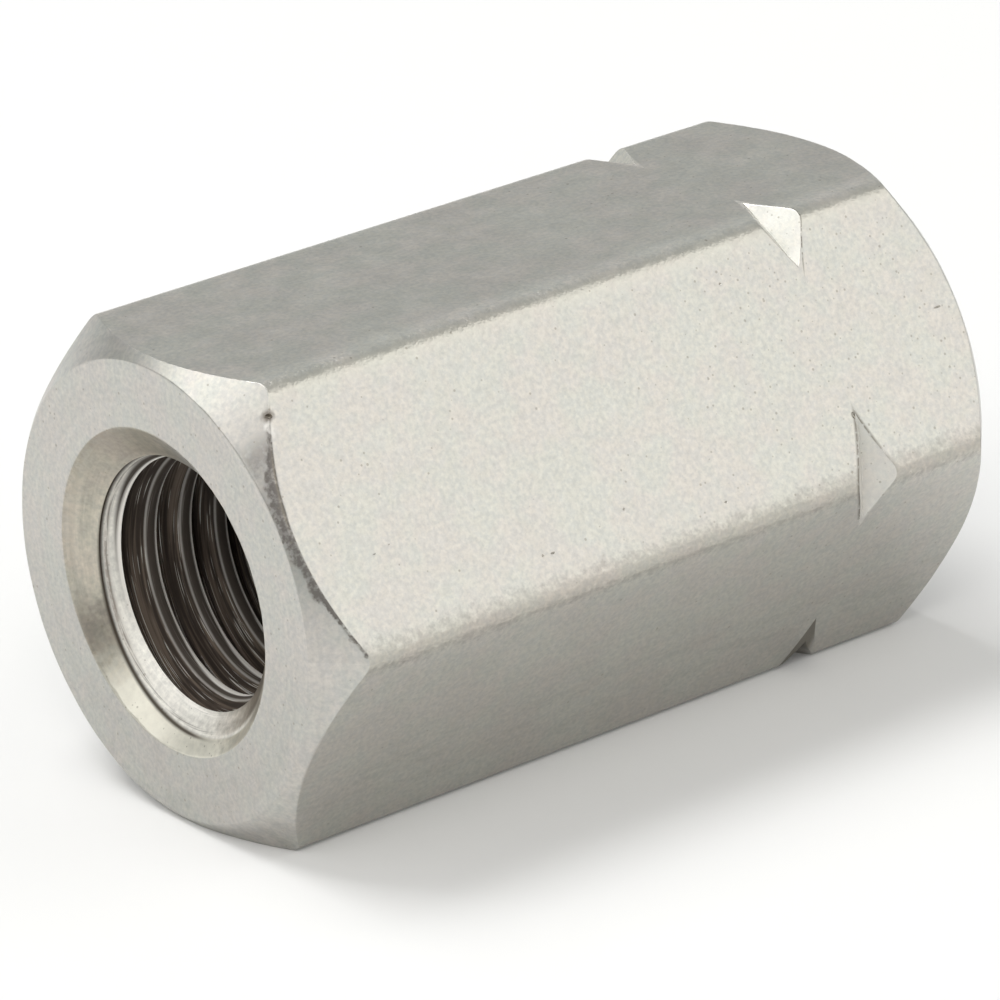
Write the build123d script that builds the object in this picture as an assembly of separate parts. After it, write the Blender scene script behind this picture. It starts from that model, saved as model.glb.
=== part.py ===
from build123d import *
from math import cos, radians, tan
import os

# Coupling nut for joining a right-hand rod to a left-hand rod.
# X runs along the thread axis, from the right-hand end at -X to the left-hand end at +X.
# The nut lies on one flat, with the origin at the middle of that flat and +Z up.

# Driving dimensions, in millimetres and degrees
across_flats = 17.0
length = 30.0
corner_radius = 0.7  # long edges of the drawn bar

land_inset = 0.3  # from the flats in to the flat ring on each end face
chamfer_angle = 43.0  # between the end face and the cone that takes the corners off
edge_break = 0.15  # radius left on the turned edges of each end face

bore_diameter = 8.6  # crests of the M10 x 1.5 threads
countersink_diameter = 11.65
countersink_angle = 100.0  # full angle of the cone at each mouth

mark_from_end = 6.25  # from the left-hand end face to the root of the turned mark
mark_depth = 0.85  # into the rounded corners, so that the flats keep only its tips
mark_angle = 90.0  # full angle of the turning tool's point

# Places that follow from the driving dimensions
CORNER_TURN = radians(30)  # from the middle of a flat round to a corner
apothem = across_flats / 2
half_length = length / 2
sharp_reach = apothem / cos(CORNER_TURN)
rounded_reach = (apothem - corner_radius) / cos(CORNER_TURN) + corner_radius


def hexagon_bar():
    """Drawn bar along X with flats below and above, and its long edges rounded."""
    outline = RegularPolygon(apothem, 6, major_radius=False)
    outline = fillet(outline.vertices(), corner_radius)
    return extrude(Plane.YZ * outline, half_length, both=True)


def outer_points():
    """Points of the turned outside as (along the axis, radius), left to right."""
    land = apothem - land_inset
    chamfer_run = (sharp_reach - land) * tan(radians(chamfer_angle))
    mark_x = half_length - mark_from_end
    mark_root = rounded_reach - mark_depth
    mark_run = (sharp_reach - mark_root) * tan(radians(mark_angle / 2))
    return [
        (-half_length, land),
        (chamfer_run - half_length, sharp_reach),
        (mark_x - mark_run, sharp_reach),
        (mark_x, mark_root),
        (mark_x + mark_run, sharp_reach),
        (half_length - chamfer_run, sharp_reach),
        (half_length, land),
    ]


def bore_points():
    """Points of the bore and its countersinks as (along the axis, radius), right to left."""
    mouth = countersink_diameter / 2
    crest = bore_diameter / 2
    cone_run = (mouth - crest) / tan(radians(countersink_angle / 2))
    return [
        (half_length, mouth),
        (half_length - cone_run, crest),
        (cone_run - half_length, crest),
        (-half_length, mouth),
    ]


def turned_blank():
    """Everything the lathe cuts: end faces, chamfer cones, V mark, bore and countersinks."""
    section = make_face(Polyline(*outer_points(), *bore_points(), close=True))
    by_station = section.vertices().group_by(Axis.X)
    section = fillet(by_station[0] + by_station[-1], edge_break)
    return revolve(section, Axis.X)


def coupling_nut():
    """The cones and the mark meet the flats in the curved edges of a turned hexagon."""
    nut = turned_blank() & hexagon_bar()
    return Pos(0, 0, apothem) * nut


os.makedirs("parts", exist_ok=True)
export_step(coupling_nut(), "parts/coupling_nut.step")
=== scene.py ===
# %% [markdown]
# Coupling nut, turned from hexagon bar.
# The nut joins a right-hand rod to a left-hand rod. A shallow V cut runs all the way round its
# left-hand end, so that a fitter can tell the two ends apart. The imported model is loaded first.
# It gives the frame that everything here sits in: metres, X along the thread, Z up, and the
# origin in the middle of the flat that the nut lies on.

# %% Load the frame
from math import ceil, cos, pi, radians, sin

import bmesh
import bpy
from mathutils import Matrix, Vector


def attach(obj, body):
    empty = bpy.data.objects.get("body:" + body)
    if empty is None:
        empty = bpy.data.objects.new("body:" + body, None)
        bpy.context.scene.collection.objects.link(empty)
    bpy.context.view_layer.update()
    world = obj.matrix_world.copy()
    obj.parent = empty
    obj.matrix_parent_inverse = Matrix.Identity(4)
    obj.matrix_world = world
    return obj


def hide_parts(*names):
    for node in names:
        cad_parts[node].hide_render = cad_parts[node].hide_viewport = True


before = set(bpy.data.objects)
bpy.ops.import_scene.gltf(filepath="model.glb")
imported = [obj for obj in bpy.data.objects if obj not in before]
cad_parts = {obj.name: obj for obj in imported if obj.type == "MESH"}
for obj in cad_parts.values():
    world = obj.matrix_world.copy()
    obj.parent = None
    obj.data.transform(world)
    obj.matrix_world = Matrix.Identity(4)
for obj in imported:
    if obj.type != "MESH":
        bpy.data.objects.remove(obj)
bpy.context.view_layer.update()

MM = 0.001  # Blender counts in metres, and a maker of nuts in millimetres

# %% [markdown]
# A node tree is a drawing, and a drawing is slow to read in a script. So one small class stands
# for a socket, and a plus or a times sign between two of them adds the Math node that does it.
# Every other node comes from one method, put, which takes the node's type, its settings and
# what goes into its sockets. The same two write both the shape and the finish.

# %% Sockets that take part in Python arithmetic


class Wire:
    """One output socket. Its signs add Math nodes to the tree that it belongs to."""

    def __init__(self, graph, socket):
        self.graph = graph
        self.socket = socket

    def out(self, name):
        """Another output of the same node."""
        return Wire(self.graph, self.socket.node.outputs[name])

    def math(self, operation, *terms):
        settings = {"operation": operation}
        return self.graph.put("ShaderNodeMath", settings, dict(enumerate(terms)))

    def __add__(self, other):
        return self.math("ADD", self, other)

    def __sub__(self, other):
        return self.math("SUBTRACT", self, other)

    def __rsub__(self, other):
        return self.math("SUBTRACT", other, self)

    def __mul__(self, other):
        return self.math("MULTIPLY", self, other)

    def __truediv__(self, other):
        return self.math("DIVIDE", self, other)

    def __rtruediv__(self, other):
        return self.math("DIVIDE", other, self)

    def __lt__(self, other):
        return self.math("LESS_THAN", self, other)

    def __gt__(self, other):
        return self.math("GREATER_THAN", self, other)

    __radd__ = __add__
    __rmul__ = __mul__

    def call(self, operation, *terms):
        """A function of this value, such as FLOOR, SINE or MINIMUM."""
        return self.math(operation, self, *terms)

    def between(self, low, high):
        return self.call("MAXIMUM", low).call("MINIMUM", high)

    def ramp(self, start, end):
        """0 up to start, 1 from end on and smooth between, in either direction."""
        settings = {"interpolation_type": "SMOOTHSTEP"}
        return self.graph.put("ShaderNodeMapRange", settings, {0: self, 1: start, 2: end})


class Graph:
    """A node tree that is written down rather than drawn."""

    def __init__(self, tree):
        self.tree = tree

    def put(self, kind, settings=None, inputs=None, output=0):
        """Adds a node, sets it up first, and then fills its sockets with wires or values."""
        node = self.tree.nodes.new(kind)
        for name, value in (settings or {}).items():
            if name == "choices":
                while len(node.index_switch_items) < value:
                    node.index_switch_items.new()
            else:
                setattr(node, name, value)
        for name, value in (inputs or {}).items():
            for term in value if isinstance(value, list) else [value]:
                if isinstance(term, Wire):
                    self.tree.links.new(term.socket, node.inputs[name])
                else:
                    node.inputs[name].default_value = term
        return Wire(self, node.outputs[output]) if node.outputs else node

    def asked(self, name, size):
        """A named input of this group, with the size that it starts from."""
        item = self.tree.interface.new_socket(name, in_out="INPUT", socket_type="NodeSocketFloat")
        item.default_value = size
        return self.put("NodeGroupInput").out(name)

    def answer(self, wire):
        """Makes this geometry the tree's result."""
        kind = "NodeSocketGeometry"
        self.tree.interface.new_socket("Geometry", in_out="OUTPUT", socket_type=kind)
        self.put("NodeGroupOutput", None, {"Geometry": wire})


def fresh_nodes(owner):
    """The emptied node tree of a material or a world."""
    owner.use_nodes = True
    owner.node_tree.nodes.clear()
    return Graph(owner.node_tree)


def linked(name, data):
    """A new object with this data, in the scene."""
    thing = bpy.data.objects.new(name, data)
    bpy.context.collection.objects.link(thing)
    return thing


print("one class for sockets, one method for nodes")

# %% [markdown]
# The nut's sizes. They are the ones that the solid model was built from. Only the thread is new
# here: the solid has a plain bore at the thread's crests, and the thread's grooves are cut into
# it below.

# %% Sizes in millimetres and degrees
BAR = {
    "Across flats": 17.0,
    "Length": 30.0,
    "Corner radius": 0.7,
    "Land inset": 0.3,
    "Chamfer angle": 43.0,
    "Mouth diameter": 11.65,
    "Mouth angle": 100.0,
    "Bore diameter": 8.6,
    "Mark from end": 6.25,
    "Mark depth": 0.85,
    "Edge break": 0.07,
}
THREAD = {
    "Pitch": 1.5,
    "Major diameter": 10.1,
    "Crest diameter": 8.6,
    "Crest flat": 0.36,
    "Root flat": 0.19,
    "Thread depth": 13.6,
    "First groove": 1.0,
}
axis_height = BAR["Across flats"] / 2
print("thread axis at", axis_height, "mm above the floor")

# %% [markdown]
# The turned hexagon. Every column of this grid is one slice of the nut, from the outside in to
# the bore. On a lathe the end faces, the cones, the V cut and the bore come from one section
# swept round, and the drawn bar gives each slice its own outer radius. A grid follows the same
# rule: its columns go round the nut, its rows go along the section, and a formula places each
# point. A bar cut by cones with a boolean would have the same shape, but would leave no way to
# round each edge by its own amount.


# %% Slices round the nut
SLICES = 32  # in each twelfth of the nut, from a corner to the middle of a flat
CORNER_SLICES = 6
MARK_SLICES = 16  # up to where the V cut runs out on the flat
TINY = 0.0001
TWELFTH = radians(30)


def slice_turn(column, corner_turn, mark_turn):
    """(angle round the axis, angle from the nearest corner), both in radians."""
    twelfth = (column / SLICES).call("FLOOR")
    along = column - twelfth * SLICES
    odd = twelfth.call("MODULO", 2.0)
    along = along + odd * (SLICES - 2.0 * along)
    on_corner = (along / CORNER_SLICES).between(0.0, 1.0)
    on_mark = ((along - CORNER_SLICES) / MARK_SLICES).between(0.0, 1.0)
    flat_start = CORNER_SLICES + MARK_SLICES
    on_flat = ((along - flat_start) / (SLICES - flat_start)).between(0.0, 1.0)
    turn = on_corner * corner_turn + on_mark * (mark_turn - corner_turn)
    turn = turn + on_flat * (TWELFTH - mark_turn)
    return (twelfth + odd) * TWELFTH + (1.0 - 2.0 * odd) * turn, turn


print("slices round the nut:", 12 * SLICES)

# %% [markdown]
# The section is a list of eleven corners, from the land round the near face, along the outside
# with its chamfers and the V cut, and back through the bore. All of them follow from the named
# sizes. Tumbling has closed the thin ends of the V cut on the flats, so the cut is made a little
# shallower there. A sharper way would be to keep it even and dent it afterwards, but the cut's
# own formula is the simplest place for it.

# %% The section that the lathe follows
SHALLOWER = [  # where the V cut is worn: degrees round the axis, spread, and how many mm
    (136, 11, 0.20),
    (195, 9, 0.17),
    (107, 9, 0.13),
    (73, 9, 0.13),
    (231, 11, 0.40),
]


def near_angle(angle, middle, spread):
    """1 at this many degrees round the axis, falling to 0 at spread degrees from it."""
    away = (angle - radians(middle)).call("ABSOLUTE")
    return away.ramp(radians(spread), radians(spread / 4))


def section_breaks(size, column):
    """Angle of this slice, and its section's breaks as (x, r) round the metal."""
    half = size["Length"] / 2.0
    apothem = size["Across flats"] / 2.0
    corner = size["Corner radius"]
    centre = (apothem - corner) / cos(TWELFTH)
    root = centre + corner - size["Mark depth"]
    flat_side = (centre * sin(TWELFTH)).call("ARCTAN2", apothem)
    corner_turn = TWELFTH - flat_side
    mark_turn = TWELFTH - (apothem / root).call("ARCCOSINE")
    angle, turn = slice_turn(column, corner_turn, mark_turn)
    for middle, spread, lift in SHALLOWER:
        root = root + lift * near_angle(angle, middle, spread)

    swing = centre * turn.call("SINE")
    rounded = centre * turn.call("COSINE") + (corner * corner - swing * swing).call("SQRT")
    flat = apothem / (TWELFTH - turn).call("COSINE")
    bar = flat + (turn < corner_turn - TINY) * (rounded - flat)

    land = apothem - size["Land inset"]
    chamfer = (bar - land) * size["Chamfer angle"].call("RADIANS").call("TANGENT")
    mark_x = half - size["Mark from end"]
    cut = (bar - root).call("MAXIMUM", 0.0)
    mouth = size["Mouth diameter"] / 2.0
    crest = size["Bore diameter"] / 2.0
    cone = (mouth - crest) / (size["Mouth angle"] / 2.0).call("RADIANS").call("TANGENT")
    return angle, [
        (0.0 - half, land),
        (chamfer - half, bar),
        (mark_x - cut, bar),
        (mark_x, bar - cut),
        (mark_x + cut, bar),
        (half - chamfer, bar),
        (half, land),
        (half, mouth),
        (half - cone, crest),
        (cone - half, crest),
        (0.0 - half, mouth),
    ]


SOFTNESS = [1.0, 0.9, 0.5, 0.4, 0.5, 0.9, 1.0, 1.6, 0.6, 0.6, 1.6]  # of each edge
BREAKS = len(SOFTNESS)
print("edges in the section:", BREAKS)

# %% [markdown]
# No edge of a real part is sharp. Each leg of the section starts with four rows that turn the
# edge as a curve, then one close row that holds the plain face flat, and then the face itself.
# How wide the curve is changes round the nut, by a noise that stands for tumbling and by a few
# knocks measured on the photo. A bevel modifier would round every edge alike.

# %% Rows along the section, with every edge rounded
ROWS = 9  # from one edge of the section to the next
ROUND_ROWS = 4  # of them on the rounding itself
SUPPORT = 0.006  # millimetres from a rounding to the first row of the plain face


def choose(index, values):
    """The value at that place in the list, counted round and round."""
    count = float(len(values))
    turned = (index + count).call("MODULO", count)
    whole = index.graph.put("FunctionNodeFloatToInt", {"rounding_mode": "ROUND"}, {0: turned})
    inputs = {0: whole}
    for place, value in enumerate(values):
        inputs[place + 1] = value
    settings = {"data_type": "FLOAT", "choices": len(values)}
    return index.graph.put("GeometryNodeIndexSwitch", settings, inputs)


def leg(start, end):
    """(length, unit x, unit r) of one straight leg of the section."""
    run = end[0] - start[0]
    rise = end[1] - start[1]
    length = (run * run + rise * rise).call("SQRT")
    safe = length.call("MAXIMUM", TINY)
    return length, run / safe, rise / safe


KNOCKED = [  # which edge, degrees round the axis, spread, and how much more it is worn
    (1, 141, 15, 2.6),
    (1, 168, 14, 0.8),
    (2, 117, 9, 7.0),
]
GRAIN = 5.0  # size of the uneven wear, in waves for each radius of the noise
NEXT_EDGE = 0.37  # steps the noise on, so that two edges are not worn alike
KEPT_CRISP = (102, 40)  # the top of the near chamfer is hardly worn: degrees and spread
CRISPER = 0.95  # how much of its wear is left out there
LEAST_WEAR = 0.3  # of the edge break, where an edge is worn least
UNEVEN = (0.3, 0.75)  # noise that adds no wear, and the most
LEG_SHARE = 0.45  # the most of a leg that one rounding may take


def worn(g, wear, place, angle):
    """The edge break, uneven as on a part that was tumbled with others."""
    cell = {"X": angle.call("COSINE"), "Y": angle.call("SINE"), "Z": place * NEXT_EDGE}
    where = g.put("ShaderNodeCombineXYZ", None, cell)
    uneven = g.put("ShaderNodeTexNoise", None, {"Vector": where, "Scale": GRAIN, "Detail": 4.0})
    amount = LEAST_WEAR + uneven.ramp(*UNEVEN)
    for edge, middle, spread, more in KNOCKED:
        here = (place - float(edge)).call("ABSOLUTE") < 0.5
        amount = amount + here * near_angle(angle, middle, spread) * more * uneven
    top = ((place - 1.0).call("ABSOLUTE") < 0.5) * near_angle(angle, *KEPT_CRISP)
    return wear * (amount * (1.0 - top * CRISPER))


def section_point(row, points, wear, angle):
    """Where this row lies on the section. The first rows after an edge round it."""
    g = row.graph
    leg_number = (row / ROWS).call("FLOOR")
    step = row - leg_number * ROWS
    place = leg_number.call("MODULO", float(BREAKS))
    lists = [[point[0] for point in points], [point[1] for point in points]]
    before, here, after, later = [
        [choose(place + shift, values) for values in lists] for shift in (-1.0, 0.0, 1.0, 2.0)
    ]
    arriving, in_x, in_r = leg(before, here)
    leaving, out_x, out_r = leg(here, after)
    beyond = leg(after, later)[0]

    def rounding(edge, other_leg):
        room = leaving.call("MINIMUM", other_leg) * LEG_SHARE
        return (choose(edge, SOFTNESS) * worn(g, wear, edge, angle)).call("MINIMUM", room)

    soft = rounding(place, arriving)
    following = (place + 1.0).call("MODULO", float(BREAKS))
    next_soft = rounding(following, beyond)

    bend = (step / (ROUND_ROWS - 1)).call("MINIMUM", 1.0)
    pull = (1.0 - bend) * (1.0 - bend) * soft
    push = bend * bend * soft
    straight = leaving - soft - next_soft
    support = (straight / 4.0).call("MINIMUM", SUPPORT)
    spread = (step - ROUND_ROWS) / (ROWS - ROUND_ROWS - 1)
    walk = (step > ROUND_ROWS - 0.5) * (support + spread * (straight - 2.0 * support))
    out = push + walk
    return here[0] - pull * in_x + out * out_x, here[1] - pull * in_r + out * out_r


print("rows along the section:", ROWS * BREAKS)

# %% [markdown]
# The same wrapping serves the nut, the taps and the first turn's cutter. A flat sheet gets one
# point for every column and row, each point is moved to where a formula says, and the points
# that fall on each other at the seam are joined.

# %% The grid, wrapped round the axis
def wrap_grid(g, columns, rows, place):
    """A sheet of columns by rows, with each point where place says, and its seams joined."""
    counts = {"Vertices X": columns + 1, "Vertices Y": rows + 1}
    sheet = g.put("GeometryNodeMeshGrid", None, counts)
    index = g.put("GeometryNodeInputIndex")
    column = ((index + 0.5) / (rows + 1.0)).call("FLOOR")
    row = index - column * (rows + 1.0)
    x, r, angle = place(column, row)
    parts = {"X": x, "Y": r * angle.call("COSINE"), "Z": r * angle.call("SINE")}
    position = g.put("ShaderNodeCombineXYZ", None, parts)
    moved = g.put("GeometryNodeSetPosition", None, {"Geometry": sheet, "Position": position})
    return g.put("GeometryNodeMergeByDistance", None, {"Geometry": moved, "Distance": TINY})


def turned_hexagon(g, size):
    """The whole nut without its threads, as one closed skin."""

    def place(column, row):
        angle, points = section_breaks(size, column)
        x, r = section_point(row, points, size["Edge break"], angle)
        return x, r, angle

    return wrap_grid(g, 12 * SLICES, ROWS * BREAKS, place)


print("grid of", 12 * SLICES, "by", ROWS * BREAKS, "faces")

# %% [markdown]
# The threads. A tap is a long ridge wound round the axis, and what it leaves behind is the
# groove. So each thread is made as its tap: one grid, as long as the helix and as wide as the
# ridge's section, wound into place and then cut out of the nut. The left-hand thread is the
# same tap seen in a mirror. A screw modifier could wind the ridge too, but a tap also fades out
# at its inner end, and here that is one more term in the formula.

# %% One tap, in either hand
STEPS = 90  # columns in one turn of the helix
RIDGE_ROWS = 10  # points of the ridge's section, five on either side
RUN_OUT = 0.6  # turns over which the tap fades out
RUN_IN = 0.25  # turns over which it starts
LIP = 0.03  # millimetres of rounding where the flank meets the crest
ROOT_ROUND = 0.03  # and where it meets the root
SUNK = 0.1  # how far the ridge dips inside the crests where it has faded out
CORE = 0.35  # and how far its foot lies inside them
FOOT_DEEP = 0.005  # the foot's corner lies this far inside the crests
FOOT_WIDE = 0.1  # and this far out beside the flank
CLEARANCES = (0.04, 0.05)  # the least height of the top over shoulder and foot
CORE_SHARE = 0.9  # of the flanks' width
TAP_TURNS = (THREAD["Thread depth"] - THREAD["First groove"]) / THREAD["Pitch"]


def tap_group():
    """A node group for the ridge of one tap. It starts outside the nut's end face."""
    g = Graph(bpy.data.node_groups.new("helical_tap", "GeometryNodeTree"))
    size = {name: g.asked(name, value) for name, value in THREAD.items()}
    phase = g.asked("Phase", 0.0)
    hand = g.asked("Hand", 1.0)
    half_length = g.asked("Length", BAR["Length"]) / 2.0
    pitch = size["Pitch"]
    major = size["Major diameter"] / 2.0
    crest = size["Crest diameter"] / 2.0
    open_half = (pitch - size["Crest flat"]) / 2.0
    root_half = size["Root flat"] / 2.0
    lean = (open_half - root_half) / (major - crest)
    inside = crest - CORE
    over_shoulder, over_foot = CLEARANCES
    columns = ceil(TAP_TURNS * STEPS)

    def place(column, row):
        turns = column / STEPS
        along = pitch * turns + size["First groove"]
        fade = ((size["Thread depth"] - along) / (pitch * RUN_OUT)).between(0.0, 1.0)
        fade = fade.call("MINIMUM", turns / RUN_IN)
        top = crest - SUNK + fade * (major - crest + SUNK)
        shoulder = (crest + LIP).call("MINIMUM", top - over_shoulder)
        foot = (crest - FOOT_DEEP).call("MINIMUM", top - over_foot)
        wide = root_half + (top - shoulder) * lean
        heights = [inside, foot, shoulder, top - ROOT_ROUND, top]
        at_root = [root_half + ROOT_ROUND / 2, root_half - ROOT_ROUND]
        widths = [wide * CORE_SHARE, wide + FOOT_WIDE, wide, *at_root]
        heights = heights + heights[::-1] + heights[:1]
        sides = [0.0 - width for width in widths] + widths[::-1] + [0.0 - widths[0]]
        closed = (column < 0.5) + (column > columns - 0.5)
        rise = choose(row, heights)
        rise = rise + closed * (inside - rise)
        side = choose(row, sides) * (1.0 - closed)
        return hand * (along + side - half_length), rise, phase.call("RADIANS") + turns * (2 * pi)

    ridge = wrap_grid(g, columns, RIDGE_ROWS, place)
    turned = g.put("GeometryNodeFlipFaces", None, {"Mesh": ridge})
    sides = {"Switch": hand < 0.0, "False": ridge, "True": turned}
    g.answer(g.put("GeometryNodeSwitch", {"input_type": "GEOMETRY"}, sides))
    return g.tree


helical_tap = tap_group()

# %% [markdown]
# The near mouth shows where the tap first bit. There is a fine line on the cone, and behind it
# a slanted band that winds on into the first groove. Both come from one more cutter, shorter
# than a turn and made in the same way. Its section is a small hook for the line and a long
# slope for the band, and it rises out of the metal at both ends, so that the cut fades away.

# %% The first turn, cut back at a slant
FIRST_TURN = {
    "Line depth": 0.821,
    "Line radius": 4.824,
    "Line inward": -0.157,
    "Slant run": 0.77,
    "Score depth": 0.05,
}
TURN_START = -2.4  # radians round the axis
TURN_END = 2.0
TURN_STEPS = 96
TURN_ROWS = 7  # points of its section
FADE = 0.6  # radians over which it comes in and goes out
LIFTED = 0.1  # millimetres that its ends are lifted clear of the cut
LEAD = 0.08  # millimetres of slope in front of the line
HOOK = ((1.4, 0.15), (2.0, -1.2))  # two corners behind the line, in depths, along and out
SKIM = 0.02  # how far the band's end lies inside the crests
TURN_CORE = 0.3  # and how far the cutter's back does


def first_turn(g, size):
    """The cutter that leaves a fine line and a slanted band in front of the first groove."""
    crest = size["Bore diameter"] / 2.0
    half = size["Length"] / 2.0

    def place(column, row):
        angle = TURN_START + column * ((TURN_END - TURN_START) / TURN_STEPS)
        along = size["Line depth"] + angle * (size["Pitch"] / (2 * pi))
        rise = size["Line radius"] + angle * size["Line inward"]
        ends = (angle - TURN_START).call("MINIMUM", TURN_END - angle)
        lifted = (1.0 - ends.ramp(0.0, FADE)) * LIFTED
        score = size["Score depth"]
        end = along + size["Slant run"]
        core = crest - TURN_CORE
        hook_xs = [along + score * further for further, _ in HOOK]
        hook_rs = [rise + score * out for _, out in HOOK]
        xs = [along - LEAD, along, *hook_xs, end, end, along]
        rs = [rise - LEAD, rise, *hook_rs, crest - SKIM, core, core]
        closed = (column < 0.5) + (column > TURN_STEPS - 0.5)
        x = choose(row, xs)
        r = choose(row, rs) - lifted
        x = x + closed * (along - x)
        r = r + closed * (core - r)
        return x - half, r, angle

    return wrap_grid(g, TURN_STEPS, TURN_ROWS, place)


print("each tap is wound with", STEPS, "steps a turn, through", round(TAP_TURNS, 2), "turns")

# %% [markdown]
# Small dents and pits, from handling and tumbling. Each was measured on the photo: its place,
# the way the skin faces there, its half sizes and its depth. A squashed ball pressed into the
# skin leaves that kind of hollow. Dark paint alone would be quicker, but would not catch light.

# %% Dents
FRONT = Vector((0.0, -cos(TWELFTH), sin(TWELFTH)))  # which way the front flat faces
UNDER = Vector((0.0, -cos(TWELFTH), -sin(TWELFTH)))
INWARD = Vector((0.0, -1.0, 0.0))
DOWNWARD = Vector((-0.45, -0.62, 0.85))
DENTS = [  # where on the skin, which way it faces there, half sizes, and how deep
    ((-13.90, -5.38, 7.62), DOWNWARD, (0.20, 0.26, 0.10), 0.10),
    ((-12.09, 4.30, 0.14), INWARD, (0.07, 0.07, 0.08), 0.06),
    ((8.66, -8.57, 2.10), FRONT, (0.08, 0.07, 0.12), 0.035),
    ((13.85, -7.29, 4.37), FRONT, (0.20, 0.05, 0.04), 0.03),
    ((-13.81, -4.63, -8.27), UNDER, (0.08, 0.07, 0.07), 0.05),
    ((-11.95, -8.12, 2.94), FRONT, (0.09, 0.04, 0.03), 0.02),
    ((-11.27, -8.05, 3.06), FRONT, (0.07, 0.04, 0.03), 0.02),
    ((-5.25, -9.09, 1.25), FRONT, (0.11, 0.05, 0.04), 0.03),
    ((-5.67, -9.08, 1.27), FRONT, (0.05, 0.05, 0.06), 0.03),
    ((-1.88, -8.80, 1.76), FRONT, (0.06, 0.05, 0.06), 0.03),
    ((2.22, -9.27, 0.95), FRONT, (0.08, 0.05, 0.05), 0.03),
    ((5.29, -5.69, 7.14), FRONT, (0.06, 0.05, 0.05), 0.03),
    ((0.20, -7.71, -3.65), UNDER, (0.05, 0.05, 0.12), 0.03),
]


def dent(g, place, facing, sizes, depth):
    """A small rounded punch, that stands in the skin as deep as asked."""
    turn = facing.to_track_quat("Y", "Z")
    centre = Vector(place) + facing.normalized() * (sizes[1] - depth)
    ball = g.put("GeometryNodeMeshIcoSphere", None, {"Radius": 1.0, "Subdivisions": 3})
    moves = {"Geometry": ball, "Translation": centre, "Rotation": turn.to_euler(), "Scale": sizes}
    return g.put("GeometryNodeTransform", None, moves)


print(len(DENTS), "dents measured on the photo")

# %% [markdown]
# Now it comes together. The two taps, the first turn and the dents are taken from the turned
# hexagon in one boolean, which is faster and safer than one after the other. Edges that turn
# sharply are kept crisp in the shading and the rest is smooth, as a machined part looks.

# %% The nut's own tree
PHASES = {"Near phase": -233.3, "Far phase": 60.0}  # degrees, where each tap starts


def nut_tree(finish):
    """Turned hexagon, less taps, first turn and dents, in metres and lying on the floor."""
    g = Graph(bpy.data.node_groups.new("threaded_nut", "GeometryNodeTree"))
    asked = {**BAR, **THREAD, **PHASES, **FIRST_TURN}
    size = {name: g.asked(name, value) for name, value in asked.items()}
    blank = turned_hexagon(g, size)
    taps = []
    for phase, hand in (("Near phase", 1.0), ("Far phase", -1.0)):
        sizes = {name: size[name] for name in [*THREAD, "Length"]}
        sizes.update({"Phase": size[phase], "Hand": hand})
        taps.append(g.put("GeometryNodeGroup", {"node_tree": helical_tap}, sizes))
    taps.append(first_turn(g, size))
    taps.extend(dent(g, *how) for how in DENTS)
    solver = {"operation": "DIFFERENCE", "solver": "MANIFOLD"}
    cut = g.put("GeometryNodeMeshBoolean", solver, {"Mesh 1": blank, "Mesh 2": taps})
    lift = g.put("ShaderNodeCombineXYZ", None, {"Z": size["Across flats"] * (MM / 2)})
    scaled = {"Geometry": cut, "Translation": lift, "Scale": (MM, MM, MM)}
    placed = g.put("GeometryNodeTransform", None, scaled)
    soft = g.put("GeometryNodeSetShadeSmooth", {"domain": "FACE"}, {"Geometry": placed})
    steep = g.put("GeometryNodeInputMeshEdgeAngle") > CRISP
    crisp = {"Geometry": soft, "Selection": steep, "Shade Smooth": False}
    edged = g.put("GeometryNodeSetShadeSmooth", {"domain": "EDGE"}, crisp)
    real = g.put("GeometryNodeRealizeInstances", None, {"Geometry": edged})
    g.answer(g.put("GeometryNodeSetMaterial", None, {"Geometry": real, "Material": finish}))
    return g.tree


CRISP = radians(28)  # an edge that turns by more than this stays crisp
print("nut tree written")

# %% [markdown]
# A tree makes its mesh only for as long as the modifier is there. The result is copied once as
# plain points and faces, so that nothing later depends on the modifier, and it is measured: a
# skin with no open edge and a positive volume is closed and faces outward.

# %% From a tree to a plain mesh
def made_by(tree, name):
    """A plain mesh object from a Geometry Nodes tree, at the origin and with no modifier."""
    piece = linked(name, bpy.data.meshes.new(name))
    modifier = piece.modifiers.new(name, "NODES")
    modifier.node_group = tree
    for item in tree.interface.items_tree:
        if item.in_out == "INPUT":
            modifier[item.identifier] = item.default_value
    evaluated = piece.evaluated_get(bpy.context.evaluated_depsgraph_get())
    mesh = bpy.data.meshes.new_from_object(evaluated)
    piece.modifiers.clear()
    piece.data = mesh
    mesh.name = name
    return piece


def report(piece):
    """Prints a mesh's size, and whether its skin is closed and faces outward."""
    skin = bmesh.new()
    skin.from_mesh(piece.data)
    loose = sum(1 for edge in skin.edges if len(edge.link_faces) != 2)
    volume = skin.calc_volume(signed=True) / MM**3
    triangles = sum(len(face.verts) - 2 for face in skin.faces)
    print(piece.name, triangles, "triangles,", loose, "open edges,", round(volume, 1), "mm3")
    skin.free()


print("ready to make the nut")

# %% [markdown]
# The finish. This is stainless steel that was tumbled after it was machined: pale, satin, and
# with a fine grain that has no direction. The turned faces keep faint rings from the tool. The
# thread's grooves hold old cutting oil, nearly black, with clean streaks where a tap or a rod
# has rubbed. All of it is one material, because it is one piece of metal. Masks worked out from
# the place of a point in the nut say where each effect belongs, so the wear follows the shape.

# %% Where a point of the surface lies
steel = bpy.data.materials.new("tumbled_stainless_steel")
s = fresh_nodes(steel)

HALF = BAR["Length"] / 2
LAND = BAR["Across flats"] / 2 - BAR["Land inset"]
MOUTH = BAR["Mouth diameter"] / 2
CREST = BAR["Bore diameter"] / 2

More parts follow.
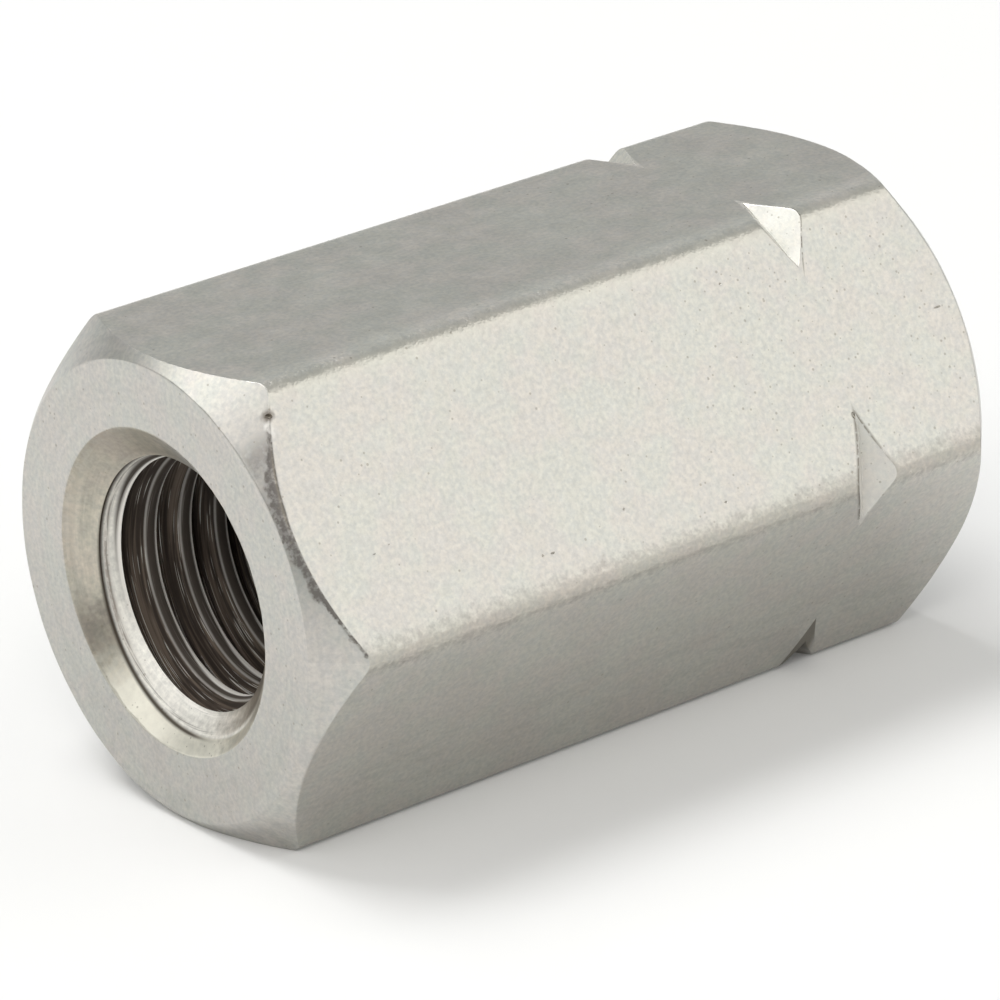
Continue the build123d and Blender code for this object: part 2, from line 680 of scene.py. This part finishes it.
in_metres = s.put("ShaderNodeTexCoord").out("Object")
spot = s.put("ShaderNodeVectorMath", {"operation": "SCALE"}, {0: in_metres, "Scale": 1 / MM})
place = s.put("ShaderNodeSeparateXYZ", None, {0: spot})
along = place.out("X")
across = place.out("Y")
up = place.out("Z") - axis_height
radius = (across * across + up * up).call("SQRT")
angle = up.call("ARCTAN2", across)
depth = HALF - along.call("ABSOLUTE")
near = (along < 0.0) * 1.0
round_x = angle.call("COSINE")
round_y = angle.call("SINE")
print("a point is known by its depth from an end, its radius and its angle")

# %% [markdown]
# Four kinds of unevenness make up the whole finish: grain, long streaks, small round specks and
# bands that come and go. Each is written once as a function, and three sizes of grain are made
# here and used again and again, because every noise costs time in each ray.

# %% Grain, streaks and specks
def noise(where, per_mm, detail=2.0):
    """Uneven values around a half, with this many grains in a millimetre."""
    sizes = {"Vector": where, "Scale": per_mm, "Detail": detail, "Roughness": 0.6}
    return s.put("ShaderNodeTexNoise", None, sizes)


def at(x, y, z):
    return s.put("ShaderNodeCombineXYZ", None, {"X": x, "Y": y, "Z": z})


def specks(where, per_mm, size, share):
    """1 on small round specks. Only this share of the cells holds one."""
    cells = s.put("ShaderNodeTexVoronoi", None, {"Vector": where, "Scale": per_mm})
    chance = s.put("ShaderNodeSeparateColor", None, {0: cells.out("Color")})
    largest = chance.out("Green") * size + size * 0.4
    inside = (cells - largest).ramp(0.0, -0.10)
    return inside * (chance < share)


def bit(value, start, top, end):
    """0, then 1 around top, then 0 again."""
    return value.ramp(start, top) * value.ramp(end, top)


def blend(share, first, second):
    """The first colour where share is 0, the second where it is 1."""
    return s.put("ShaderNodeMix", {"data_type": "RGBA"}, {0: share, 6: first, 7: second}, 2)


def shade(colour, factor):
    return s.put("ShaderNodeVectorMath", {"operation": "SCALE"}, {0: colour, "Scale": factor})


def tinted(share, colour, tint):
    """The colour, multiplied by a tint where share is 1."""
    settings = {"data_type": "RGBA", "blend_type": "MULTIPLY"}
    return s.put("ShaderNodeMix", settings, {0: share, 6: colour, 7: tint}, 2)


fine = noise(spot, 6.0, 2.0)
coarse = noise(spot, 1.1, 2.0)
patchy = noise(spot, 2.6, 2.0)
print("grain at three scales")

# %% [markdown]
# A mask is 1 on one part of the nut and 0 elsewhere. They all come from the depth, the radius
# and the angle, by the same sizes as the shape, so none has to be painted by hand. What belongs
# to one part of the way round has its angles in the list below, as they were read on the photo.

# %% Masks for the parts of the nut
CONE_LENGTH = 1.28  # millimetres deep, where the countersink meets the crests
CHAMFER_SLOPE = 0.9325  # the tangent of the chamfer's angle
TAP_ENTERS = 2.2  # radians round the axis, where the near tap first bites
BITES = (1.46, 1.52)  # unrolled depths between which its groove begins
ON_IT = (0.03, 0.01)  # millimetres from a face: off it, and on it
BORDER = 0.02  # half the width of the border round the mouth
GROOVE_WALL = (0.03, 0.16)  # millimetres below the crests: still clean, and oiled
MARK_HALF = 1.0  # millimetres beside its middle that the V cut may reach
ROUND = {  # degrees round the axis: where each begins, is full and ends
    "chamfer dark reflection": (112, 138, 200),
    "chamfer highlight": (76, 98, 135),
    "cleaner cone": (80, 108, 150),
    "lower stain": (-50, -32, -14),
    "upper stain": (10, 68, 108),
    "shadow": (-174, -145, -92),
    "cream": (-132, -84, -38),
    "brightest cream highlight": (-130, -98, -75),
    "rubbed corner": (118.5, 121, 140),
    "highlight beside the rub": (112, 118, 121.5),
    "long bruise": (127, 139, 176),
    "short bruise": (161, 164.5, 168),
    "smear": (126, 131, 137),
    "upper lip": (110, 126, 138),
    "front lip": (162, 169, 184),
    "speckled": (112, 135, 260),
    "painted_rim_highlight": (-118, -95, -60),
    "streak": (-75, -20, 50),
}


def band(name, turned_by=angle):
    """1 on this band of the way round, and 0 away from it."""
    return bit(turned_by, *(radians(value) for value in ROUND[name]))


cone_radius = MOUTH - depth * (MOUTH - CREST) / CONE_LENGTH
clean_radius = cone_radius.call("MAXIMUM", CREST)
below = radius - clean_radius  # how far a point lies below the thread's crests
unrolled = depth - angle * (THREAD["Pitch"] / (2 * pi))
started = unrolled + (angle > TAP_ENTERS) * THREAD["Pitch"]
threaded = (started.ramp(*BITES) * near).call("MAXIMUM", 1.0 - near)
hole = radius.ramp(MOUTH + BORDER, MOUTH - BORDER)
outside = 1.0 - hole
groove = below.ramp(*GROOVE_WALL) * threaded * hole
crest = hole * depth.ramp(1.2, 1.4) * (1.0 - groove)
countersink = hole * depth.ramp(1.5, 1.2) * (1.0 - groove)
slant = countersink * near * unrolled.ramp(0.86, 0.94)
slant = slant * angle.ramp(2.0, 1.2) * angle.ramp(-2.7, -2.1)
end_face = depth.ramp(*ON_IT) * outside
corner_angle = angle.call("PINGPONG", TWELFTH)
corner = corner_angle * radius
flat_radius = BAR["Across flats"] / 2 / (TWELFTH - corner_angle).call("COSINE")
from_edge = flat_radius - radius  # 0 on the flats, and more on the chamfers
beyond = depth - (radius - LAND) * CHAMFER_SLOPE  # 0 on the chamfers, more on the flats
chamfer = (1.0 - end_face) * beyond.ramp(*ON_IT) * outside
turned = (end_face + countersink + chamfer).call("MINIMUM", 1.0)
mark_x = HALF - BAR["Mark from end"]
centre = (BAR["Across flats"] / 2 - BAR["Corner radius"]) / cos(TWELFTH)
mark_root = centre + BAR["Corner radius"] - BAR["Mark depth"]
from_middle = along - mark_x
mark_reach = from_middle.call("ABSOLUTE")
mark_gap = mark_root + mark_reach - radius  # 0 in the V cut, and more on the flats
flats = outside * (1.0 - turned)
marked = mark_reach < MARK_HALF
drawn = flats * (1.0 - mark_gap.ramp(*ON_IT) * marked)
print("masks for the bore, the countersink, the ends, the chamfers and the corners")

# %% [markdown]
# Clean stainless steel is a warm light grey. Tumbling leaves it mottled, in warmer and cooler
# spots. Turned faces are a little darker and carry rings from the tool. In the photo the near
# countersink has a brown stain, a pale cream patch at the bottom and a shadow beside it, which
# are laid in by their angle, with ragged borders. From here on, a ramp's two numbers say where
# an effect begins and where it is full, and the number behind a mask says how strong it is.

# %% Colour of the metal, with painted shade and painted highlights
COOL = (0.638, 0.629, 0.592, 1.0)
WARM = (0.659, 0.639, 0.586, 1.0)
TURNED_TINT = (0.868, 0.870, 0.880, 1.0)
GREENISH = (0.984, 1.0, 0.993, 1.0)
ROSY_GREY = (1.0, 0.981, 0.984, 1.0)
GRIME_AND_SHADE = (0.80, 0.80, 0.795, 1.0)
CUT_TINT = (0.88, 0.84, 0.765, 1.0)
SLANT_HIGHLIGHT = (0.79, 0.77, 0.715, 1.0)
STAIN_TINT = (0.68, 0.665, 0.66, 1.0)
CREAM_HIGHLIGHT = (0.78, 0.755, 0.66, 1.0)
SHADOW_TINT = (0.43, 0.385, 0.34, 1.0)
colour = blend(((fine + patchy) * 0.5).ramp(0.42, 0.58), COOL, WARM)
colour = shade(colour, 0.71 + fine * 0.42 + coarse * 0.16)
blotches = noise(spot, 0.55, 3.0)
colour = tinted(1.0, colour, blend(blotches.ramp(0.38, 0.62), GREENISH, ROSY_GREY))
# Painted shade: the lower faces and the bottom of the end face are painted darker towards the
# bottom, with streaks of grime along the underside.
low = up.ramp(-0.5, -9.0) * outside * (1.0 - turned * 0.6)
drawn_out = noise(at(along * 0.5, angle * 16.0, radius), 1.0, 3.0)
smudge = drawn_out.ramp(0.46, 0.66) * up.ramp(-2.0, -8.0) * outside
colour = tinted(low * (0.75 + blotches * 0.5) + smudge * 0.45, colour, GRIME_AND_SHADE)
# Painted shade below the middle of the nut. The second term in the next line is uneven tone on
# the turned faces.
painted_shade_below = up.ramp(0.5, -1.5) * outside * (1.0 - turned * 0.6)
colour = shade(colour, 1.0 - painted_shade_below * 0.12 + turned * (patchy - 0.5) * 0.10)
# Painted shade: the front of the near chamfer is painted darker, as a painted dark reflection of
# the room.
colour = shade(colour, 1.0 - chamfer * near * band("chamfer dark reflection") * 0.24)
# Painted highlight: the top of the near chamfer is kept out of the turned tint and painted a
# little lighter.
painted_chamfer_highlight = chamfer * near * band("chamfer highlight")
colour = tinted(turned - painted_chamfer_highlight, colour, TURNED_TINT)
colour = shade(colour, 1.0 + painted_chamfer_highlight * 0.05)
# The upper part of the countersink is kept out of its tint and made lighter.
lightened = band("cleaner cone")
colour = tinted(countersink * (1.0 - slant) * (1.0 - lightened), colour, CUT_TINT)
# The slanted band is painted lighter: partly its rougher cut, partly a painted highlight.
colour = blend(slant * 0.8, colour, SLANT_HIGHLIGHT)
rings = noise(at(radius * 4.0 + round_x * 0.9, round_y * 0.9, depth * 4.0), 1.0, 3.0)
colour = shade(colour, 1.0 + turned * (rings - 0.5) * (0.2 + countersink * 0.5))
colour = shade(colour, 1.0 + countersink * ((patchy - 0.5) * 0.35 + lightened * 0.22))
colour = shade(colour, 1.0 + slant * (fine - 0.5) * 0.5)
ragged_angle = angle + (patchy - 0.5) * 0.35
stain = band("lower stain", ragged_angle) * (1.0 - slant)
stain = stain + band("upper stain", ragged_angle) * radius.ramp(4.5, 4.9) * 0.8
colour = tinted(countersink * near * stain * (0.5 + rings), colour, STAIN_TINT)
shadowed = band("shadow", ragged_angle) * radius.ramp(5.4, 5.15)
colour = tinted(countersink * near * shadowed, colour, SHADOW_TINT)
mouth_edge = bit(radius + (fine - 0.5) * 0.25, MOUTH - 0.42, MOUTH - 0.1, MOUTH + 0.05)
mouth_edge = near * depth.ramp(1.0, 0.5) * mouth_edge * patchy.ramp(0.4, 0.65)
colour = tinted(mouth_edge * 0.5, colour, STAIN_TINT)
# Painted highlight: the pale cream patch at the bottom of the countersink, lifted further where
# it is brightest.
cream = band("cream", ragged_angle) * (1.0 - slant)
cream = countersink * near * (cream * 3.0).call("MINIMUM", 1.0) * (0.6 + patchy * 0.7)
colour = blend(cream * 0.9, colour, CREAM_HIGHLIGHT)
colour = shade(colour, 1.0 + cream * band("brightest cream highlight") * 0.2)
print("clean metal coloured")

# %% [markdown]
# The long corners are rubbed, rosy grey below. Above, the rub is painted paler and yellower,
# partly as wear and partly as a painted highlight, with more painted highlight beside it. The
# near chamfer's edge has been knocked dark along the front, and has a nick at its upper end: dark
# brown in its upper half as painted shade, and a painted highlight under it. The borders follow
# the grain, because wear is never straight.

# %% Rubbed and bruised edges, with painted highlights and shade
RUBBED_HIGHLIGHT = (0.80, 0.77, 0.665, 1.0)
ROSY = (0.74, 0.712, 0.685, 1.0)
reach = corner + (fine - 0.5) * 0.4 + (patchy - 0.5) * 1.0
ragged = drawn * reach.ramp(0.72, 0.12)
peened = drawn * corner.ramp(1.1, 0.3)
under = angle.call("ABSOLUTE").ramp(radians(155), radians(168))
# Painted highlight just beside the upper rubbed corner.
colour = shade(colour, 1.0 + drawn * band("highlight beside the rub") * 0.14)
colour = tinted(ragged * under * 0.8, colour, ROSY)
# The upper rubbed corner is painted paler and yellower: partly wear, partly a painted highlight.
colour = blend(ragged * band("rubbed corner") * 0.45, colour, RUBBED_HIGHLIGHT)
BRUISE = (0.15, 0.138, 0.128, 1.0)
knock = band("long bruise") + band("short bruise") * 0.4
width = 0.06 + knock * 0.27 + (patchy - 0.5) * 0.35 + (fine - 0.5) * 0.15
on_round = from_edge.ramp(0.003, 0.012) * beyond.ramp(0.5, 0.4) * corner.ramp(0.5, 0.6)
on_edge = beyond.ramp(0.11, 0.05).call("MAXIMUM", on_round)
on_chamfer = (1.0 - end_face) * outside * near * on_edge
bruise = on_chamfer * (from_edge - width).ramp(0.05, -0.09) * angle.ramp(2.13, 2.22)
tail = angle.ramp(radians(163), radians(168))
bruise = bruise * angle.ramp(radians(181), radians(178))
bruise = bruise * (fine.ramp(0.3, 0.62) * 0.5 + 0.5 + tail * 0.4)
colour = blend((bruise * 0.95).call("MINIMUM", 0.9), colour, BRUISE)
smear = chamfer * near * band("smear", angle + (fine - 0.5) * 0.08)
smear = smear * radius.ramp(8.2, 8.35) * patchy.ramp(0.3, 0.5)
colour = blend(smear * 0.4, colour, BRUISE)


def around(point, size):
    """1 at this point of the skin, in millimetres from the axis, fading out at size from it."""
    middle = Vector(point) + Vector((0.0, 0.0, axis_height))
    settings = {"operation": "DISTANCE"}
    away = s.put("ShaderNodeVectorMath", settings, {0: spot, 1: middle}, "Value")
    return (away + (patchy - 0.5) * size * 1.4).ramp(size, size * 0.4)


# Painted shade and painted highlight of the nick: dark brown in its upper half, light under it.
NICK_SHADE = (0.22, 0.195, 0.17, 1.0)
NICK_HIGHLIGHT = (0.88, 0.86, 0.82, 1.0)
NICK = [  # where on the skin, how far it reaches, how strong it is, and its colour
    ((-13.95, -5.13, 8.02), 0.09, 0.5, NICK_SHADE),
    ((-13.93, -5.36, 7.65), 0.33, 0.85, NICK_SHADE),
    ((-14.05, -5.60, 7.34), 0.28, 0.5, NICK_HIGHLIGHT),
]
for point, size, share, paint in NICK:
    colour = blend(around(point, size) * share, colour, paint)
print("edges rubbed and bruised")

# %% [markdown]
# The V cut was turned after the bar was drawn, so its sides are less soiled than the flats, and
# they are painted lighter as a painted highlight. Dirt has settled on parts of its lips. The root
# of the V low at the front is painted dark, as painted shade.

# %% Dirt, painted highlight and painted shade at the V cut
DIRT_AND_SHADE = (0.16, 0.145, 0.12, 1.0)
lip_width = 0.10 + (angle.call("ABSOLUTE") > radians(150)) * 0.08
lip = bit(mark_gap, 0.0, 0.03, lip_width) * marked * flats
far_lip = from_middle.ramp(0.0, 0.2) * (band("upper lip") + band("front lip"))
near_lip = from_middle.ramp(0.25, 0.0) * angle.ramp(radians(160), radians(168))
near_lip = near_lip + (angle < radians(-169)) * from_middle.ramp(0.0, -0.1)
lip = lip * (far_lip + near_lip).call("MINIMUM", 1.0)
lip = lip * (fine * 0.6 + patchy * 0.4).ramp(0.36, 0.50)
colour = blend(lip * 0.85, colour, DIRT_AND_SHADE)
# The V cut's sides are painted lighter, most on the lower front side: partly their fresher cut,
# partly a painted highlight.
CLEAN_CUT_HIGHLIGHT = (0.80, 0.785, 0.745, 1.0)
in_mark = flats - drawn
cut_highlight = 0.3 * (angle > radians(100)) * (angle < radians(150))
cut_highlight = cut_highlight + 0.42 * angle.call("ABSOLUTE").ramp(2.6, 2.65)
colour = blend(in_mark * (1.0 - lip) * cut_highlight, colour, CLEAN_CUT_HIGHLIGHT)
# Painted shade: the root of the V low at the front is painted dark.
painted_notch_shade = in_mark * (angle < radians(-115)) * (angle > radians(-135))
colour = blend(painted_notch_shade * from_middle.ramp(0.6, 0.2) * 0.85, colour, DIRT_AND_SHADE)
print("V cut edged with dirt")

# %% [markdown]
# Dark specks are scattered over the flats, more of them towards the left-hand end and on the
# cream patch. Pits are found by their shape, wherever a flat lies deeper than it should, and are
# painted dark as painted shade.

# %% Specks, and painted shade in the pits
SPECK = (0.27, 0.24, 0.19, 1.0)
dense = along.ramp(-1.0, 9.0) * 0.6 + 0.14
cluster = bit(along, -3.5, -1.0, 1.5) * corner.ramp(1.8, 0.4) * (angle > radians(150))
dense = (dense + cluster * 0.4) * flats * (0.3 + 0.7 * band("speckled"))
dense = dense + cream * 0.9 + turned * 0.08 + slant * 0.4 + in_mark * 0.5
dots = specks(spot, 4.2, 0.19, dense)
# Painted shade: pits, where a flat lies deeper than it should, are painted dark.
pits = drawn * from_edge.ramp(0.006, 0.02) * corner.ramp(0.45, 0.55)
colour = blend((dots * 0.5).call("MAXIMUM", pits * 0.5), colour, SPECK)
print("specks scattered")

# %% [markdown]
# Cutting oil has dried in the grooves, nearly black in the roots and thin on the flanks. A rod
# has wiped most of it off the crests, which are pale worn steel; their nearer parts are painted
# dark, partly as oil and partly as painted shade, and they grow darker further in as painted
# shade.
# A painted highlight runs along the lower edge of the first crest. Streaks run along the thread,
# so their noise is stretched along the angle. The fine line of the first turn is filled as well.

# %% Oil in the grooves, with painted shade and a painted highlight on the crests
OIL = (0.026, 0.016, 0.011, 1.0)
THIN_OIL = (0.15, 0.115, 0.088, 1.0)
WORN_CREST_AND_HIGHLIGHT = (0.93, 0.90, 0.85, 1.0)
LINE_BROWN = (0.04, 0.03, 0.022, 1.0)
STREAK_BROWN = (0.27, 0.225, 0.19, 1.0)
CREST_OIL_AND_SHADE = (0.045, 0.033, 0.025, 1.0)
INNER = 4.25  # millimetres from the axis, just inside the crests
CREST_FROM = 1.514  # unrolled depth of the first groove's far edge
OILED = 0.97  # how much of the steel the oil hides
wound = unrolled * (2 * pi / THREAD["Pitch"])  # a full turn from one groove to the next


def along_thread(per_mm, per_turn, detail):
    """Streaks that follow the thread, with no seam where the angle starts again."""
    turn = per_mm * THREAD["Pitch"] / (2 * pi)
    x = wound.call("COSINE") * turn + round_x * per_turn
    y = wound.call("SINE") * turn + round_y * per_turn
    return noise(at(x, y, radius * per_mm + depth), 1.0, detail)


streaky = along_thread(7.0, 1.4, 2.0)
scratch = along_thread(22.0, 2.4, 1.0)
rubbed_clean = (scratch - 0.62).ramp(0.0, 0.05) * streaky.ramp(0.42, 0.56)
oil_share = groove * (1.0 - rubbed_clean * 0.85)
oil_colour = blend(streaky.ramp(0.42, 0.72), OIL, THIN_OIL)
colour = blend(oil_share * OILED, colour, oil_colour)
crest_place = ((unrolled - CREST_FROM) / THREAD["Pitch"]).call("FRACT")  # 0.76 to 1 on a crest
# Oil and painted shade on the crests: only their deeper edge is left light, and they get darker
# further into the bore.
lit_crest_edge = (crest_place + bit(angle, -2.9, -1.7, -0.7) * 0.12).ramp(0.84, 0.92) * near
smear_and_shade = (1.0 - lit_crest_edge) * 1.02 + (scratch - 0.5) * 0.7
crest_oil_and_shade = crest * (smear_and_shade + depth.ramp(3.0, 9.0) * 0.25).between(0.0, 0.96)
colour = blend(crest * 0.95, colour, WORN_CREST_AND_HIGHLIGHT)
colour = blend(crest_oil_and_shade, colour, CREST_OIL_AND_SHADE)
# Painted highlight along the lower edge of the first crest.
painted_rim_highlight = bit(unrolled, 1.36, 1.44, 1.52) * near * hole * band("painted_rim_highlight")
colour = blend(painted_rim_highlight * scratch.ramp(0.4, 0.55), colour, WORN_CREST_AND_HIGHLIGHT)
on_cone = below.ramp(-0.06, -0.02)
line = bit(unrolled, 0.77, 0.87, 0.99) * hole * near * (radius > INNER)
second = bit(unrolled, 0.96, 1.03, 1.12) * hole * near * scratch.ramp(0.40, 0.60) * 0.6
line = (line + second) * angle.ramp(-2.1, -1.6) * angle.ramp(1.5, 0.9) * on_cone
colour = blend(line.call("MINIMUM", 0.95), colour, LINE_BROWN)
streak = bit(unrolled, 0.93, 1.0, 1.18) * band("streak") * hole * near
streak = streak * (0.25 + fine.ramp(0.36, 0.60) * 0.5) * on_cone
colour = blend(streak, colour, STREAK_BROWN)
oil_and_crest_shade = (oil_share + crest_oil_and_shade * 0.6 + line + streak * 0.6).call("MINIMUM", 1.0)
print("grooves oiled")

# %% [markdown]
# One shader carries it all. Steel is a metal, and dried oil is not, so the metal share falls
# where the oil and the crests' painted shade lie. The relief is a few thousandths of a
# millimetre:
# it only breaks up the reflection, and is stronger on the rubbed corners.

# %% The finished steel
GRAIN_HEIGHT = 0.000003  # metres
ROUGH = 0.36
HIGHLIGHT = 0.1  # how strongly the oil itself shines
roughness = ROUGH + (coarse - 0.5) * 0.18 + oil_and_crest_shade * 0.12 + crest * 0.1
roughness = roughness + in_mark * 0.14 + slant * 0.12 + bruise * 0.2
metal = 1.0 - (oil_and_crest_shade * 0.9 + crest * 0.95 + slant * 0.5).call("MINIMUM", 0.95)
relief = fine * (0.8 + peened * 9.0 + in_mark * 2.0)
bumps = {"Strength": 1.0, "Distance": GRAIN_HEIGHT, "Height": relief}
normal = s.put("ShaderNodeBump", None, bumps, "Normal")
surface = {"Base Color": colour, "Metallic": metal, "Roughness": roughness, "Normal": normal}
surface["Specular IOR Level"] = HIGHLIGHT
shader = s.put("ShaderNodeBsdfPrincipled", None, surface)
s.put("ShaderNodeOutputMaterial", None, {"Surface": shader})
print("steel mixed")

# %% [markdown]
# The nut is made, tied to the solid model's only body, and takes the place of its plain node.
# Its faces carry the steel material that its tree sets.

# %% Make the nut
nut = made_by(nut_tree(steel), "threaded_nut")
report(nut)
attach(nut, "root")
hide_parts("coupling_nut")

# %% [markdown]
# The floor is a sheet of pale paper, wide enough that its edge is never seen. It glows a
# little, but only to the camera and in reflections, so that it reads as white without sending
# more light on to the nut. It keeps the nut's shadow.

# %% Floor
FLOOR_REACH = 3.0  # metres, from the middle to each edge
PAPER = (0.80, 0.80, 0.796, 1.0)
GLOW = 0.05
floor = linked("studio_floor", bpy.data.meshes.new("studio_floor"))
corners = [(-1, -1, 0), (1, -1, 0), (1, 1, 0), (-1, 1, 0)]
corners = [tuple(FLOOR_REACH * value for value in corner) for corner in corners]
floor.data.from_pydata(corners, [], [(0, 1, 2, 3)])
paper = bpy.data.materials.new("white_paper")
p = fresh_nodes(paper)
sheet = p.put("ShaderNodeBsdfDiffuse", None, {"Color": PAPER})
rays = p.put("ShaderNodeLightPath")
seen = rays.out("Is Camera Ray") + rays.out("Is Glossy Ray") + rays.out("Is Transmission Ray")
glow = p.put("ShaderNodeEmission", None, {"Color": (1, 1, 1, 1), "Strength": seen * GLOW})
both = p.put("ShaderNodeAddShader", None, {0: sheet, 1: glow})
p.put("ShaderNodeOutputMaterial", None, {"Surface": both})
floor.data.materials.append(paper)
print("floor laid")

# %% [markdown]
# Polished steel shows the room more than it shows itself. This room is plain grey and a little
# lighter near the floor. The camera and whoever stands behind it are a dark patch in it, which
# the rounded edges pick up, and the air right overhead is dimmer.

# %% Room
world = bpy.data.worlds.new("studio_room")
bpy.context.scene.world = world
w = fresh_nodes(world)
way = w.put("ShaderNodeTexCoord").out("Generated")
ROOM_GREY = (0.985, 1.0, 0.985, 1.0)
ROOM_LIGHT = 0.465  # of a white card's brightness
HAZE = 0.45  # lighter by this at the floor
DIMMER = 0.24  # and darker by this overhead
DARKER = 0.85  # the share of light that the camera hides
DARK_SIDE = Vector((-0.60, -0.71, 0.36)).normalized()
DARK_EDGE, DARK_MIDDLE = cos(radians(25)), cos(radians(6))
settings = {"operation": "DOT_PRODUCT"}
facing = w.put("ShaderNodeVectorMath", settings, {0: way, 1: DARK_SIDE}, "Value")
dark = facing.ramp(DARK_EDGE, DARK_MIDDLE)
height = w.put("ShaderNodeSeparateXYZ", None, {0: way}, "Z")
haze = 1.0 - height.ramp(0.0, 0.26)
to_right = w.put("ShaderNodeSeparateXYZ", None, {0: way}, "X")
zenith = height.ramp(0.5, 0.95) * to_right.ramp(0.45, 0.1)
strength = (ROOM_LIGHT + haze * HAZE - zenith * DIMMER) * (1.0 - dark * DARKER)
room = w.put("ShaderNodeBackground", None, {"Color": ROOM_GREY, "Strength": strength})
w.put("ShaderNodeOutputWorld", None, {"Surface": room})
print("room is grey")

# %% [markdown]
# Each softbox stands where one face of the nut reflects it to the camera. The right one makes
# the front flat pale, the left one lights the chamfers and the top one gives the shadow. The
# front one is small and looks into the bore. Each is set by its brightness and not by its
# power, so that its size can be changed without a change of exposure.

# %% Softboxes
def softbox(name, direction, distance, width, height, radiance, colour):
    """An area lamp that faces the nut, as bright as a white card would be at this radiance."""
    data = bpy.data.lights.new(name, "AREA")
    data.shape = "RECTANGLE"
    data.size = width
    data.size_y = height
    data.energy = radiance * pi * width * height
    data.color = colour
    lamp = linked(name, data)
    way = Vector(direction).normalized()
    lamp.location = way * distance + Vector((0, 0, axis_height * MM))
    lamp.rotation_mode = "QUATERNION"
    lamp.rotation_quaternion = way.to_track_quat("Z", "Y")
    lamp.visible_camera = False
    print(name, "gives", round(data.energy, 2), "W")


SOFTBOXES = [  # name, direction, distance, width, height, brightness, colour
    ("right_softbox", (0.563, -0.696, 0.446), 1.0, 1.1, 0.9, 0.74, (1.0, 0.985, 0.96)),
    ("left_softbox", (-0.70, 0.24, 0.69), 1.0, 1.0, 0.45, 1.05, (1.0, 0.995, 0.98)),
    ("top_softbox", (-0.15, 0.35, 0.92), 1.1, 0.6, 0.6, 6.2, (1.0, 1.0, 1.0)),
    ("front_softbox", (-0.5, -0.5, 0.7), 1.0, 0.45, 0.45, 4.6, (1.0, 0.98, 0.95)),
]
for how in SOFTBOXES:
    softbox(*how)

# %% [markdown]
# The camera was worked out from the nut's corners in the photo. It has a long lens and stands
# in front of the nut, past its right-hand end and a little above.

# %% Camera
FOCAL_LENGTH = 235.4  # millimetres
SENSOR = 36.0  # millimetres across
CAMERA_PLACE = Vector((-129.65, -168.46, 94.72))  # millimetres from the frame's origin
CLIPPED = (0.01, 20.0)  # metres, between which things are drawn
camera = linked("camera", bpy.data.cameras.new("camera"))
camera.data.lens = FOCAL_LENGTH
camera.data.sensor_width = SENSOR
camera.data.clip_start, camera.data.clip_end = CLIPPED
right = Vector((0.7800, -0.6239, -0.0491))
forward = Vector((0.5632, 0.7340, -0.3796)).normalized()
up = right.cross(forward).normalized()
right = forward.cross(up)
turn = Matrix((right, up, -forward)).transposed().to_4x4()
camera.matrix_world = Matrix.Translation(CAMERA_PLACE * MM) @ turn
bpy.context.scene.camera = camera
bpy.context.scene.view_settings.view_transform = "Standard"
print("camera at", [round(value, 4) for value in camera.matrix_world.translation])

# %% [markdown]
# At the end the view layer is brought up to date.

# %% Bring the scene up to date
bpy.context.view_layer.update()
